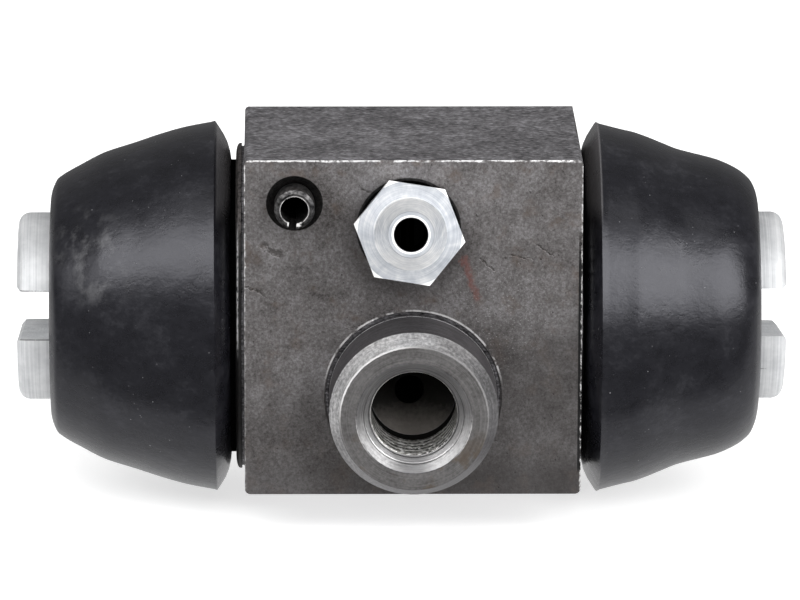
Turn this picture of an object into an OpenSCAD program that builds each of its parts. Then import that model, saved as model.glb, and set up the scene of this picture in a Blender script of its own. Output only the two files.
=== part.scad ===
// Hydraulic wheel cylinder of a drum brake: two opposed pistons in one cast iron body.
// Lengths are in millimetres. X runs along the bore, Z is up and the mounting pad faces -Y.
// The origin is the point where the axis of the port boss crosses the face of the pad.

/* [Mounting pad] */
// Width of the pad along the bore
pad_w = 35; // [34:0.5:38]
// Height of the pad's flat top face above the axis of the port boss
pad_top = 25.5; // [25:0.25:28]
// Depth of the pad's bottom face below the axis of the port boss
pad_drop = 10.6; // [10:0.1:11.4]
// Depth of the flat top face from front to back
pad_d = 22; // [20:0.5:24]
// Radius of the pad's upright corners, seen from the front
pad_corner_r = 0.6; // [0.3:0.1:1.2]
// Draft of the pad's right side over its depth
pad_taper = 0.4; // [0:0.1:0.8]
// Radius of the cast edge at the back of the flat top face
pad_edge_r = 0.5; // [0.2:0.1:1]
// Radius of the cast fillets between the pad and the barrel
cast_fillet_r = 1.6; // [0.8:0.2:2.4]

/* [Barrel] */
// Diameter of the bore
bore_d = 20.64; // [20:0.02:21.4]
// Distance of the bore's axis behind the face of the pad
axis_back = 17.5; // [17.5:0.25:19]
// Height of the bore's axis above the axis of the port boss
axis_rise = 4.8; // [4.6:0.1:5.4]
// Offset of the barrel's middle from the port boss, along the bore
barrel_shift = -0.35; // [-0.5:0.05:0]
// Diameter of the barrel as cast
barrel_d = 35; // [34.6:0.1:35]
// Diameter of the turned collar at each end of the cast barrel
collar_d = 34.4; // [33.8:0.1:34.6]
// Width of the turned collar beside the pad
collar_w = 0.6; // [0.5:0.05:1.2]
// Length of the collar's rounded edge along the bore
collar_edge_w = 0.4; // [0.2:0.05:0.5]
// Height of the collar's rounded edge
collar_edge_h = 1.2; // [0.6:0.1:1.6]
// Width of the turning groove that parts the collar from the cast barrel
relief_w = 0.25; // [0.2:0.05:0.5]
// Depth of the turning groove that parts the collar from the cast barrel
relief_h = 0.3; // [0.2:0.1:1]
// Width of the mould's parting line along the back of the barrel
seam_w = 1; // [0.6:0.1:1.6]
// Height of the mould's parting line
seam_h = 0.25; // [0.1:0.05:0.4]

/* [Boot seat] */
// Diameter of the groove that holds the boot's inner bead
seat_d = 28.4; // [27.8:0.1:29]
// Width of the groove that holds the boot's inner bead
seat_w = 2.2; // [1.8:0.1:2.8]
// Diameter of the nose outside the groove
nose_d = 30.6; // [30:0.1:31]
// Length of the nose outside the groove
nose_w = 1.9; // [1.4:0.1:2.6]
// Chamfer on the outside of the nose
nose_chamfer = 0.8; // [0.4:0.1:1.2]
// Lead-in chamfer at each mouth of the bore
bore_chamfer = 0.9; // [0.5:0.1:1.2]

/* [Port boss] */
// Diameter of the boss that fills the hole in the backing plate
boss_d = 17.5; // [17:0.1:18.5]
// Height of the boss above the pad
boss_h = 7.65; // [7:0.05:10]
// Length of the boss's outer chamfer along its axis
boss_chamfer_h = 1.7; // [1:0.1:2.2]
// Width of the boss's outer chamfer across its face
boss_chamfer_w = 1.05; // [0.6:0.05:1.3]
// Width of the relief turned into the pad round the boss
boss_relief_w = 0.5; // [0.3:0.1:0.9]
// Depth of the relief turned into the pad round the boss
boss_relief_h = 0.4; // [0.2:0.1:0.8]
// Width by which the relief undercuts the foot of the boss
boss_foot_w = 0.3; // [0.2:0.05:0.5]

/* [Fluid port] */
// Diameter of the tapped hole across the thread's crests
port_d = 8.92; // [8.4:0.02:9.2]
// Diameter of the port's countersunk mouth
port_mouth_d = 11.8; // [11:0.1:12.2]
// Depth of the port's countersunk mouth
port_mouth_h = 1.85; // [1.2:0.05:2.4]
// Depth of the port from the front of the boss to the end of the full diameter
port_depth = 8.65; // [7.5:0.05:9.2]
// Diameter of the drilling from the port into the bore
port_drill_d = 3.1; // [2:0.1:3.6]
// Point angle of the drills that made the port and the bleed hole
drill_angle = 118; // [112:2:124]

/* [Bleed hole] */
// Tilt of the bleed hole above the normal of the pad
bleed_tilt = 15; // [13:0.5:17]
// Height of the bleed hole's mouth above the axis of the port boss
bleed_rise = 17.8; // [17.6:0.1:18.2]
// Offset of the bleed hole from the port boss, along the bore
bleed_shift = -0.5; // [-0.8:0.1:0.4]
// Diameter of the bleed screw's thread
bleed_thread_d = 10; // [9.6:0.1:10.2]
// Diameter of the chamfer at the mouth of the bleed hole
bleed_mouth_d = 10.7; // [10.5:0.1:11.2]
// Depth of the bleed hole at full diameter
bleed_depth = 8; // [7:0.1:8.4]
// Diameter of the drilling from the bleed hole into the bore
bleed_drill_d = 2.5; // [1.6:0.1:3]

/* [Bleed screw] */
// Width of the hexagon across its flats
hex_af = 10; // [9:0.5:11]
// Height of the hexagon
hex_h = 5.5; // [4:0.1:7]
// Distance of the hexagon from the mouth of the bleed hole
hex_off = 1.9; // [1.7:0.1:2.5]
// Turn of the hexagon about the screw's axis
hex_turn = -9.1; // [-30:0.1:30]
// Diameter of the turned neck under the hexagon
screw_neck_d = 8.2; // [7.4:0.1:8.8]
// Diameter of the plain end that closes on the seat
screw_end_d = 5.8; // [5:0.1:6.4]
// Length of the plain end before its cone
screw_end_h = 1.8; // [1.2:0.1:2.4]
// Diameter of the hose nipple's neck
nipple_neck_d = 5.9; // [5.4:0.1:6.4]
// Diameter of the hose nipple's bulb
nipple_bulb_d = 7.4; // [6.8:0.1:8]
// Diameter of the hose nipple's tip
nipple_tip_d = 4.6; // [4.4:0.1:5.2]
// Length of the hose nipple
nipple_h = 9.6; // [8:0.1:12]
// Diameter of the drilling along the bleed screw
screw_drill_d = 3.4; // [2.4:0.1:3.6]
// Diameter of the cross drilling above the seat
screw_cross_d = 1.4; // [1:0.1:1.6]

/* [Locating pin] */
// Diameter of the rolled spring pin where it stands free
pin_d = 4.16; // [4:0.02:4.4]
// Diameter of the pin's hole, which squeezes the pin
pin_hole_d = 3.8; // [3.6:0.02:3.84]
// Wall of the rolled pin
pin_wall = 0.63; // [0.5:0.01:0.8]
// Width of the pin's slit
pin_slit_w = 0.8; // [0.4:0.1:1]
// Turn of the pin's slit away from straight down
pin_slit_turn = -7; // [-20:1:20]
// Length of the pin
pin_len = 12; // [10:0.5:13]
// Length of the pin that stands out of the pad
pin_proud = 2.7; // [2:0.1:4]
// Distance of the pin from the port boss, along the bore
pin_side = 12.3; // [12:0.1:13.2]
// Height of the pin above the axis of the port boss
pin_rise = 20.9; // [20.4:0.1:21.4]
// Diameter of the countersink round the pin
pin_sink_d = 5.9; // [5.4:0.1:6.6]
// Depth of the countersink round the pin
pin_sink_h = 1.1; // [0.6:0.1:1.4]

/* [Pistons] */
// Length of each piston
piston_len = 31.2; // [30.8:0.1:32]
// Diameter of the piston's slotted head
head_d = 19.76; // [19.4:0.02:19.9]
// Distance from the piston's outer end to the boot groove
head_len = 5.2; // [5:0.1:5.6]
// Radius of the edge at the piston's outer end
head_edge_r = 1.2; // [0.6:0.1:1.6]
// Diameter of the boot groove's floor
piston_groove_d = 17.7; // [17:0.1:18.2]
// Width of the boot groove
piston_groove_w = 2.1; // [1.8:0.1:2.4]
// Width of the slot for the shoe's web
slot_w = 5; // [4.6:0.1:6]
// Depth of the slot for the shoe's web
slot_depth = 5; // [4.4:0.1:5]
// Chamfer at the mouth of the slot
slot_edge = 0.4; // [0.2:0.1:0.8]
// Turn of the left piston's slot about the bore
slot_turn_left = -10; // [-30:0.5:30]
// Turn of the right piston's slot about the bore
slot_turn_right = -11.4; // [-30:0.1:30]
// Distance of the left piston's outer end from the barrel's middle
reach_left = 41.05; // [40.8:0.05:42]
// Distance of the right piston's outer end from the barrel's middle
reach_right = 39.65; // [39.4:0.05:41]
// Chamfer at the piston's inner end
piston_chamfer = 0.45; // [0.2:0.05:0.8]

/* [Cups and spring] */
// Thickness of the rubber cup's base
cup_base = 2.4; // [2:0.1:3]
// Height of the rubber cup from its back to the edge of its lip
cup_h = 5.1; // [4.6:0.1:5.6]
// Thickness of the cup's lip at its root
cup_lip = 1.9; // [1.4:0.1:2.2]
// Thickness of the cup's lip at its edge
cup_edge = 0.9; // [0.6:0.1:1.2]
// Sheet thickness of the spring steel expander
expander_t = 0.6; // [0.4:0.05:0.8]
// Diameter of the expander's flat disc
expander_disc_d = 12.6; // [12:0.1:13]
// Height of the expander's flared rim
expander_h = 1.9; // [1.4:0.1:2.2]
// Height of the expander's pilot, which centres the spring
pilot_h = 1.1; // [0.8:0.1:1.6]
// Wire diameter of the return spring
wire_d = 1; // [0.8:0.05:1.1]
// Mean diameter of the return spring
spring_d = 10.4; // [10:0.1:10.8]
// Turns of the return spring
spring_turns = 5.5; // [4:0.5:6]

/* [Boots] */
// Largest diameter of each boot, at its lip
boot_d = 39.1; // [38.2:0.1:39.6]
// Diameter of the boot's neck beside the collar
boot_neck_d = 30.92; // [30.4:0.02:31.4]
// Distance of the lip from the boot's inner face, along the bore
boot_lip_w = 1.65; // [1.4:0.05:2]
// Wall thickness of each boot
boot_wall = 1.4; // [1.1:0.1:1.7]
// Distance by which the left boot stands off the collar
boot_off_left = 0.5; // [0.3:0.05:0.9]
// Distance by which the right boot stands off the collar
boot_off_right = 0.2; // [0.02:0.02:0.3]
// Distance of the left boot's outer end beyond the groove in its piston
boot_end_left = 1.75; // [1.45:0.05:2.55]
// Distance of the right boot's outer end beyond the groove in its piston
boot_end_right = 2.4; // [2.05:0.05:3.35]
// Thickness of the rubber round the piston at the boot's outer end
boot_hem = 1.5; // [1.2:0.1:2]

/* [Fits] */
// Radial clearance of each piston and cup in the bore
bore_fit = 0.045; // [0.02:0.005:0.08]
// Radial clearance of the bleed screw in its tapped hole
thread_fit = 0.04; // [0.02:0.005:0.08]
// Radial clearance of the pressed part of the spring pin
pin_fit = 0.02; // [0.01:0.005:0.04]
// Clearance between the rubber boots and the metal they grip
boot_fit = 0.06; // [0.04:0.01:0.1]
// Clearance between faces that rest on each other
seat_fit = 0.02; // [0.01:0.005:0.05]

/* [Hidden] */
$fn = 96;
over = 1.2;

// Outline of the left boot from its lip to its outer end: shares of its length and of its lip's height
// above the hem.
boot_left_shares = [[0.02, 0.99], [0.18, 0.923], [0.33, 0.834], [0.49, 0.72], [0.655, 0.61], [0.74, 0.527],
                    [0.815, 0.44], [0.89, 0.354], [0.935, 0.294], [0.965, 0.24], [0.985, 0.156]];
// Outline of the right boot, which is drawn into a waist, in the same shares.
boot_right_shares = [[0.02, 0.981], [0.16, 0.906], [0.235, 0.87], [0.315, 0.812], [0.375, 0.761],
                     [0.44, 0.706], [0.5, 0.655], [0.575, 0.612], [0.655, 0.571], [0.75, 0.518],
                     [0.825, 0.455], [0.89, 0.383], [0.935, 0.31], [0.965, 0.243], [0.985, 0.161]];
// Outline of the lip's inner face: shares of its width and of the height from the neck to the lip.
boot_face_shares = [[0, 0], [0.06, 0.21], [0.21, 0.45], [0.44, 0.66], [0.75, 0.86], [1, 1]];
// Share of the way from the barrel's nose to the boot's wall that the boot's bead reaches.
bead_share = 0.57;
// Shares of the nipple's length at which its bulb starts, is widest and ends.
nipple_shares = [0.5, 0.64, 0.74];
// Steps of the smooth curves and of the spring's sweep.
curve_steps = 3;
edge_steps = 6;
spring_rings = 22;
wire_sides = 8;

bore_r = bore_d / 2;
face_s = pad_w / 2 + collar_w;
seat_s = face_s + seat_w;
nose_s = seat_s + nose_w;
cup_r = bore_r - bore_fit;
piston_r = bore_r - bore_fit;
head_r = head_d / 2;
in_left = reach_left - piston_len;
in_right = reach_right - piston_len;
bleed_hole_r = bleed_thread_d / 2 + thread_fit;
half_angle = drill_angle / 2;
cup_mouth_r = cup_r - cup_edge;
cup_root_r = cup_r - cup_lip;
expander_back = cup_base + seat_fit;
expander_rim_r = cup_root_r + (cup_mouth_r - cup_root_r) * expander_h / (cup_h - cup_base) - boot_fit;
spring_left = in_left - expander_back - expander_t - seat_fit;
spring_right = in_right - expander_back - expander_t - seat_fit;
pilot_r = spring_d / 2 - wire_d / 2 - boot_fit;
neck_r = boot_neck_d / 2;
lip_r = boot_d / 2;

// A profile of [along the axis, radius] pairs, turned about the X axis
module turned(profile) {
    rotate([0, 90, 0]) rotate_extrude() polygon([for (p = profile) [p[1], p[0]]]);
}

// Places a piece on the bore's axis, drawn outwards from the barrel's middle; side is -1 left, 1 right
module on_bore(side) {
    translate([barrel_shift, axis_back, axis_rise])
        if (side < 0) mirror([1, 0, 0]) children();
        else children();
}

// Places a piece on the axis of the bleed hole, drawn outwards from the face of the pad
module on_bleed() {
    translate([bleed_shift, 0, bleed_rise]) rotate([90 - bleed_tilt, 0, 0]) children();
}

// A quarter of an ellipse from [0, b] to [a, 0], as points
function quarter(a, b) = [for (i = [0 : edge_steps]) let (t = 90 * i / edge_steps) [a * sin(t), b * cos(t)]];

function knot(p, i) = p[max(0, min(len(p) - 1, i))];
function on_curve(a, b, c, d, t) =
    (2 * b + (c - a) * t + (2 * a - 5 * b + 4 * c - d) * t * t + (3 * b - a - 3 * c + d) * t * t * t) / 2;
// A smooth curve through every point of p
function curve(p) = [for (i = [0 : len(p) - 2]) for (k = [0 : curve_steps - 1])
                        on_curve(knot(p, i - 1), p[i], p[i + 1], knot(p, i + 2), k / curve_steps),
                    p[len(p) - 1]];
// The same curve moved sideways, to the right of its run
function beside(p, wall) =
    [for (i = [0 : len(p) - 1]) let (d = knot(p, i + 1) - knot(p, i - 1))
        p[i] + wall * [d[1], -d[0]] / norm(d)];
function turned_round(p) = [for (i = [len(p) - 1 : -1 : 0]) p[i]];
function moved(p, v) = [for (q = p) q + v];

// The pad: its section along the bore, its outline from the front and its tapered plan
module pad() {
    back_x = pad_w / 2 - pad_taper;
    back_y = axis_back + barrel_d;
    intersection() {
        translate([-pad_w / 2, 0, 0]) rotate([90, 0, 90]) linear_extrude(pad_w) pad_section();
        rotate([90, 0, 0]) translate([0, 0, -back_y]) linear_extrude(back_y) pad_outline();
        translate([0, 0, -axis_rise - barrel_d]) linear_extrude(2 * barrel_d + pad_top)
            polygon([[-pad_w / 2, 0], [pad_w / 2, 0], [back_x, pad_d], [back_x, back_y],
                     [-pad_w / 2, back_y]]);
    }
}

module pad_section() {
    full_r = barrel_d / 2 + cast_fillet_r;
    top_y = pad_d + cast_fillet_r;
    top_z = axis_rise + sqrt(pow(full_r, 2) - pow(top_y - axis_back, 2));
    low_z = -pad_drop - cast_fillet_r;
    low_y = axis_back - sqrt(pow(full_r, 2) - pow(axis_rise - low_z, 2));
    axis = [axis_back, axis_rise];
    polygon([[0, -pad_drop], [0, pad_top], [pad_d - pad_edge_r, pad_top], [pad_d, pad_top - pad_edge_r],
             [pad_d, top_z], axis, [low_y, -pad_drop]]);
    translate([pad_d - pad_edge_r, pad_top - pad_edge_r]) circle(pad_edge_r);
    difference() {
        polygon([[pad_d, top_z], [top_y, top_z], axis]);
        translate([top_y, top_z]) circle(cast_fillet_r);
    }
    difference() {
        polygon([[low_y, -pad_drop], [low_y, low_z], axis]);
        translate([low_y, low_z]) circle(cast_fillet_r);
    }
}

module pad_outline() {
    inset = pad_w / 2 - pad_corner_r;
    tall = axis_rise + barrel_d;
    difference() {
        translate([-pad_w / 2, -tall]) square([pad_w, tall + pad_top]);
        for (side = [-1, 1]) for (edge = [[pad_top, 1], [-pad_drop, -1]])
            translate([side * inset, edge[0] - edge[1] * pad_corner_r]) difference() {
                translate([side - 1, edge[1] - 1] * pad_corner_r / 2) square(pad_corner_r);
                circle(pad_corner_r);
            }
    }
}

// One half of the barrel: cast middle, relief groove, turned collar, boot groove and nose
module half_barrel() {
    cast_r = barrel_d / 2;
    collar_r = collar_d / 2;
    collar_s = face_s - collar_w;
    cast_s = collar_s - relief_w;
    edge = quarter(collar_edge_w, collar_edge_h);
    turned(concat([[-over, 0], [-over, cast_r], [cast_s - pad_edge_r, cast_r], [cast_s, cast_r - pad_edge_r],
                   [cast_s, collar_r - relief_h], [collar_s, collar_r - relief_h], [collar_s, collar_r]],
                  moved(edge, [face_s - collar_edge_w, collar_r - collar_edge_h]),
                  [[face_s, seat_d / 2], [seat_s, seat_d / 2], [seat_s, nose_d / 2],
                   [nose_s - nose_chamfer, nose_d / 2], [nose_s, nose_d / 2 - nose_chamfer], [nose_s, 0]]));
    translate([-over, 0, -seam_w / 2]) cube([cast_s - pad_edge_r + over, cast_r + seam_h, seam_w]);
}

// The port boss, turned with the face of the pad
module boss() {
    rotate([90, 0, 0]) {
        cylinder(d = boss_d, h = boss_h - boss_chamfer_h);
        translate([0, 0, boss_h - boss_chamfer_h])
            cylinder(d1 = boss_d, d2 = boss_d - 2 * boss_chamfer_w, h = boss_chamfer_h);
        translate([0, 0, -boss_relief_h - over])
            cylinder(d = boss_d - 2 * boss_foot_w, h = boss_relief_h + over);
    }
}

// A hole from above z = 0 down: conical mouth, full diameter and drill point
module drilled(mouth_r, mouth_h, r, depth) {
    rotate_extrude() polygon([[0, over + mouth_r], [mouth_r, over + mouth_r], [mouth_r, 0], [r, -mouth_h],
                              [r, -depth], [0, -depth - r / tan(half_angle)]]);
}

// A narrow drilling on from the point of a hole, as far as the bore's axis
module drilled_on(d, depth, far) {
    translate([0, 0, -far]) cylinder(d = d, h = far - depth);
}

module port_hole() {
    rotate([90, 0, 0]) translate([0, 0, boss_h]) {
        drilled(port_mouth_d / 2, port_mouth_h, port_d / 2, port_depth);
        translate([barrel_shift, 0, 0]) drilled_on(port_drill_d, port_depth, boss_h + axis_back);
    }
}

module bleed_hole() {
    mouth_r = bleed_mouth_d / 2;
    on_bleed() {
        drilled(mouth_r, mouth_r - bleed_hole_r, bleed_hole_r, bleed_depth);
        drilled_on(bleed_drill_d, bleed_depth, axis_back / cos(bleed_tilt));
    }
}

module pin_hole() {
    translate([-pin_side, 0, pin_rise]) rotate([90, 0, 0])
        drilled(pin_sink_d / 2, pin_sink_h, pin_hole_d / 2, pin_len - pin_proud);
}

module body() color("#55504b") {
    difference() {
        union() {
            difference() {
                union() {
                    pad();
                    for (side = [-1, 1]) on_bore(side) half_barrel();
                }
                rotate([90, 0, 0]) translate([0, 0, -boss_relief_h])
                    cylinder(d = boss_d + 2 * boss_relief_w, h = boss_relief_h + over);
            }
            boss();
        }
        translate([barrel_shift, axis_back, axis_rise]) rotate([0, 90, 0]) {
            cylinder(r = bore_r, h = 2 * (nose_s + over), center = true);
            for (side = [-1, 1]) mirror([0, 0, side < 0 ? 1 : 0]) translate([0, 0, nose_s - bore_chamfer])
                cylinder(r1 = bore_r, r2 = bore_r + bore_chamfer, h = bore_chamfer);
        }
        port_hole();
        bleed_hole();
        pin_hole();
    }
}

// Rolled spring pin: squeezed where it is pressed into the pad, with a slit along its length
module locating_pin() color("#6f7276") {
    free_r = pin_d / 2;
    tight_r = pin_hole_d / 2 - pin_fit;
    lead = pin_wall / 2;
    back = pin_proud - pin_len + seat_fit;
    translate([-pin_side, 0, pin_rise]) rotate([90, 0, 0]) rotate([0, 0, pin_slit_turn]) difference() {
        rotate_extrude() polygon([[tight_r - pin_wall, back], [tight_r - lead, back], [tight_r, back + lead],
                                  [tight_r, -pin_sink_h], [free_r, 0], [free_r, pin_proud - lead],
                                  [free_r - lead, pin_proud], [free_r - pin_wall, pin_proud],
                                  [free_r - pin_wall, 0], [tight_r - pin_wall, -pin_sink_h]]);
        translate([-pin_slit_w / 2, -pin_d, back - over]) cube([pin_slit_w, pin_d, pin_len + 2 * over]);
    }
}

// Bleed screw: thread, hexagon and hose nipple, drilled through to a cross hole above its seat
module bleed_screw() color("#c9cdd2") {
    shank_r = bleed_thread_d / 2;
    end_r = screw_end_d / 2;
    tip_r = (bleed_drill_d + nipple_tip_d) / 4;
    seat_z = -bleed_depth - (bleed_hole_r - end_r) / tan(half_angle) + 2 * thread_fit;
    tip_z = seat_z - (end_r - tip_r) / tan(half_angle);
    thread_z = seat_z + screw_end_h;
    lead = (shank_r - end_r) / 2;
    under_r = screw_neck_d / 2;
    under_z = (hex_off - shank_r + under_r) / 2;
    flat_r = hex_af / 2;
    corner_r = flat_r / cos(30);
    edge_r = (flat_r + corner_r) / 2;
    slope = (corner_r - edge_r) * tan(30);
    top_z = hex_off + hex_h;
    neck_r = nipple_neck_d / 2;
    bulb_r = nipple_bulb_d / 2;
    end_z = top_z + nipple_h;
    cross_z = seat_z + screw_cross_d;
    on_bleed() difference() {
        union() {
            rotate_extrude() polygon([[0, tip_z], [tip_r, tip_z], [end_r, seat_z], [end_r, thread_z - lead],
                                      [shank_r - lead / 2, thread_z], [shank_r, thread_z + lead / 2],
                                      [shank_r, under_z], [under_r, under_z + shank_r - under_r],
                                      [under_r, hex_off + slope], [0, hex_off + slope]]);
            intersection() {
                translate([0, 0, hex_off]) rotate([0, 0, hex_turn])
                    cylinder(r = corner_r, h = hex_h, $fn = 6);
                rotate_extrude() polygon([[0, hex_off], [edge_r, hex_off], [corner_r, hex_off + slope],
                                          [corner_r, top_z - slope], [edge_r, top_z], [0, top_z]]);
            }
            rotate_extrude() polygon([[0, top_z - slope], [neck_r, top_z - slope],
                                      [neck_r, top_z + nipple_h * nipple_shares[0]],
                                      [bulb_r, top_z + nipple_h * nipple_shares[1]],
                                      [bulb_r, top_z + nipple_h * nipple_shares[2]],
                                      [nipple_tip_d / 2, end_z], [0, end_z]]);
        }
        translate([0, 0, cross_z]) cylinder(d = screw_drill_d, h = end_z - cross_z + over);
        translate([0, 0, cross_z]) rotate([90, 0, 0])
            cylinder(d = screw_cross_d, h = bleed_thread_d, center = true);
    }
}

// One piston, turned, with its boot groove and a slot across its outer end for the shoe's web
module piston(inner, turn) {
    end = inner + piston_len;
    wall = end - head_len;
    edge = quarter(head_edge_r, head_edge_r);
    slot_r = slot_w / 2;
    flare = slot_edge + over;
    difference() {
        turned(concat([[inner, 0], [inner, piston_r - piston_chamfer], [inner + piston_chamfer, piston_r],
                       [wall - piston_groove_w, piston_r], [wall - piston_groove_w, piston_groove_d / 2],
                       [wall, piston_groove_d / 2], [wall, head_r]],
                      moved(edge, [end - head_edge_r, head_r - head_edge_r]), [[end, 0]]));
        rotate([turn, 0, 0]) translate([0, head_d, 0]) rotate([90, 0, 0]) linear_extrude(2 * head_d)
            polygon([[end - slot_depth, -slot_r], [end - slot_edge, -slot_r], [end + over, -slot_r - flare],
                     [end + over, slot_r + flare], [end - slot_edge, slot_r], [end - slot_depth, slot_r]]);
    }
}

module piston_left() color("#c4c8cc") on_bore(-1) piston(in_left, slot_turn_left);
module piston_right() color("#c4c8cc") on_bore(1) piston(in_right, slot_turn_right);

// Rubber cup seal: its back rests on the piston and its lip faces the fluid
module cup(inner) {
    back = inner - seat_fit;
    front = inner - cup_h;
    turned([[back, 0], [back, cup_r - cup_edge], [back - cup_edge / 2, cup_r], [front + cup_edge / 3, cup_r],
            [front, cup_r - cup_edge / 3], [front, cup_mouth_r], [inner - cup_base, cup_root_r],
            [inner - cup_base, 0]]);
}

module cup_left() color("#1d1d1f") on_bore(-1) cup(in_left);
module cup_right() color("#1d1d1f") on_bore(1) cup(in_right);

// Pressed steel expander: a dished disc in the cup, with a hollow pilot that centres the spring
module expander(inner) {
    back = inner - expander_back;
    front = back - expander_t;
    disc_r = expander_disc_d / 2;
    top = front - pilot_h;
    turned([[back, pilot_r - expander_t], [back, disc_r], [back - expander_h, expander_rim_r],
            [back - expander_h - expander_t / 2, expander_rim_r - expander_t], [front, disc_r - expander_t],
            [front, pilot_r], [top, pilot_r - expander_t / 2], [top, 0], [top + expander_t, 0],
            [top + expander_t, pilot_r - expander_t * 3 / 2]]);
}

module expander_left() color("#9a9ea3") on_bore(-1) expander(in_left);
module expander_right() color("#9a9ea3") on_bore(1) expander(in_right);

// Return spring: round wire swept along a helix whose end turns lie flat
function rise(turn, run, closed) =
    turn < 1 ? closed * turn
    : turn > spring_turns - 1 ? run - closed * (spring_turns - turn)
    : closed + (run - 2 * closed) * (turn - 1) / (spring_turns - 2);
function wire_ring(turn, length) =
    let (r = spring_d / 2, x = wire_d / 2 + rise(turn, length - wire_d, wire_d + seat_fit))
    [for (k = [0 : wire_sides - 1]) let (a = 360 * k / wire_sides, out = r + wire_d / 2 * cos(a))
        [x + wire_d / 2 * sin(a), out * cos(360 * turn), out * sin(360 * turn)]];

module return_spring() color("#8d9196") {
    length = spring_left + spring_right;
    rings = floor(spring_rings * spring_turns);
    points = [for (i = [0 : rings]) for (p = wire_ring(spring_turns * i / rings, length)) p];
    sides = [for (i = [0 : rings - 1]) for (k = [0 : wire_sides - 1])
        let (a = i * wire_sides + k, b = i * wire_sides + (k + 1) % wire_sides)
        [a, b, b + wire_sides, a + wire_sides]];
    ends = [[for (k = [wire_sides - 1 : -1 : 0]) k], [for (k = [0 : wire_sides - 1]) rings * wire_sides + k]];
    translate([barrel_shift - spring_left, axis_back, axis_rise]) polyhedron(points, concat(sides, ends));
}

// Rubber boot: a bead in the barrel's groove, a lip, a thin outer wall and a hem that grips the piston
module boot(off, groove, beyond, shares) {
    face = face_s + off;
    lip = face + boot_lip_w;
    end = groove + beyond;
    rim_s = seat_s - boot_fit;
    clear_s = nose_s + boot_fit;
    clear_r = nose_d / 2 + boot_fit;
    hem_r = head_r + boot_fit;
    hem_top = hem_r + boot_hem;
    outside = curve([for (p = shares) [lip + (end - lip) * p[0], hem_top + (lip_r - hem_top) * p[1]]]);
    last = outside[len(outside) - 1];
    rib_r = piston_groove_d / 2 + boot_fit;
    rib_out = groove - boot_fit;
    rib_in = groove - piston_groove_w + boot_fit;
    hem_in = rib_in - boot_wall / 2;
    wall = beside(outside, boot_wall);
    past_nose = [for (p = wall) if (p[0] > clear_s && p[1] > hem_top) p];
    over_nose = [for (p = wall) if (p[0] > rim_s && p[0] < clear_s) [p[0], max(p[1], clear_r)]];
    inner = concat(over_nose, [[clear_s, max(past_nose[0][1], clear_r)]], past_nose);
    bead_r = nose_d / 2 + (inner[0][1] - nose_d / 2) * bead_share;
    turned(concat([[face_s + boot_fit / 2, seat_d / 2 + boot_fit], [face_s + boot_fit / 2, neck_r]],
                  [for (p = boot_face_shares) [face + boot_lip_w * p[0], neck_r + (lip_r - neck_r) * p[1]]],
                  outside,
                  [[end, last[1] - boot_wall / 2], [end, hem_r], [rib_out, hem_r], [rib_out, rib_r],
                   [rib_in, rib_r], [rib_in, piston_r + boot_fit], [hem_in, piston_r + boot_fit],
                   [hem_in, hem_top], [inner[len(inner) - 1][0], hem_top]],
                  turned_round(inner),
                  [[inner[0][0], bead_r], [rim_s, bead_r], [rim_s, seat_d / 2 + boot_fit]]));
}

module boot_left() color("#232427")
    on_bore(-1) boot(boot_off_left, reach_left - head_len, boot_end_left, boot_left_shares);
module boot_right() color("#232427")
    on_bore(1) boot(boot_off_right, reach_right - head_len, boot_end_right, boot_right_shares);

body();
locating_pin();
bleed_screw();
piston_left();
piston_right();
cup_left();
cup_right();
expander_left();
expander_right();
return_spring();
boot_left();
boot_right();
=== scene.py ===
import math

import bmesh
import bpy
from mathutils import Matrix, Vector


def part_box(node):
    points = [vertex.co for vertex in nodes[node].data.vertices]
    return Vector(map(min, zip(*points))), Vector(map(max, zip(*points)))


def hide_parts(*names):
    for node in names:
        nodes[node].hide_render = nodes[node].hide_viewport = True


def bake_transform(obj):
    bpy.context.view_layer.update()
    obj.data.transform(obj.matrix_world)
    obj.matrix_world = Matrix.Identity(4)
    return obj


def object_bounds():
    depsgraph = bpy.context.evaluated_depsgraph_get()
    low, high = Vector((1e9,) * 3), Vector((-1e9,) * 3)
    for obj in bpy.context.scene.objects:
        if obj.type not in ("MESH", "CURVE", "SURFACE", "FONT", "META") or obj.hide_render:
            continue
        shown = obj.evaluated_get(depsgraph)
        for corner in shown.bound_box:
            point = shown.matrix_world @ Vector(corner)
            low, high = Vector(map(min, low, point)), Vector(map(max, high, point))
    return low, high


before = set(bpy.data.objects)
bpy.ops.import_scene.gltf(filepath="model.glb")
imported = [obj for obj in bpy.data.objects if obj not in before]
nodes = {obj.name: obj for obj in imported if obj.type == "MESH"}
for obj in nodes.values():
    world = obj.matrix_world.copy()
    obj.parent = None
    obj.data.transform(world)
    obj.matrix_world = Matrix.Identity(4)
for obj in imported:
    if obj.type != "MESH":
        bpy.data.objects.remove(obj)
cad_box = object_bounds()

# The camera looks down on the mounting pad at 16 degrees through a long lens, from nearly
# straight in front, as the photographer's did.
tilt_down, swing, roll = math.radians(16.388), math.radians(0.805), math.radians(0.153)
lens_on_36_mm = 356.57
camera_place = (-0.012439, -0.787293, 0.242059)
level = math.cos(tilt_down)
ahead = Vector((math.sin(swing) * level, math.cos(swing) * level, -math.sin(tilt_down)))
right = ahead.cross(Vector((0, 0, 1))).normalized()
up = right.cross(ahead)
right, up = (right * math.cos(roll) + up * math.sin(roll), up * math.cos(roll) - right * math.sin(roll))
camera = bpy.data.objects.new("camera", bpy.data.cameras.new("camera"))
camera.data.lens = lens_on_36_mm
camera.data.sensor_width = 36
camera.data.clip_start, camera.data.clip_end = 0.05, 20
stand = Matrix((right, up, -ahead)).transposed().to_4x4()
stand.translation = camera_place
camera.matrix_world = stand
bpy.context.scene.collection.objects.link(camera)
bpy.context.scene.camera = camera


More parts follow.
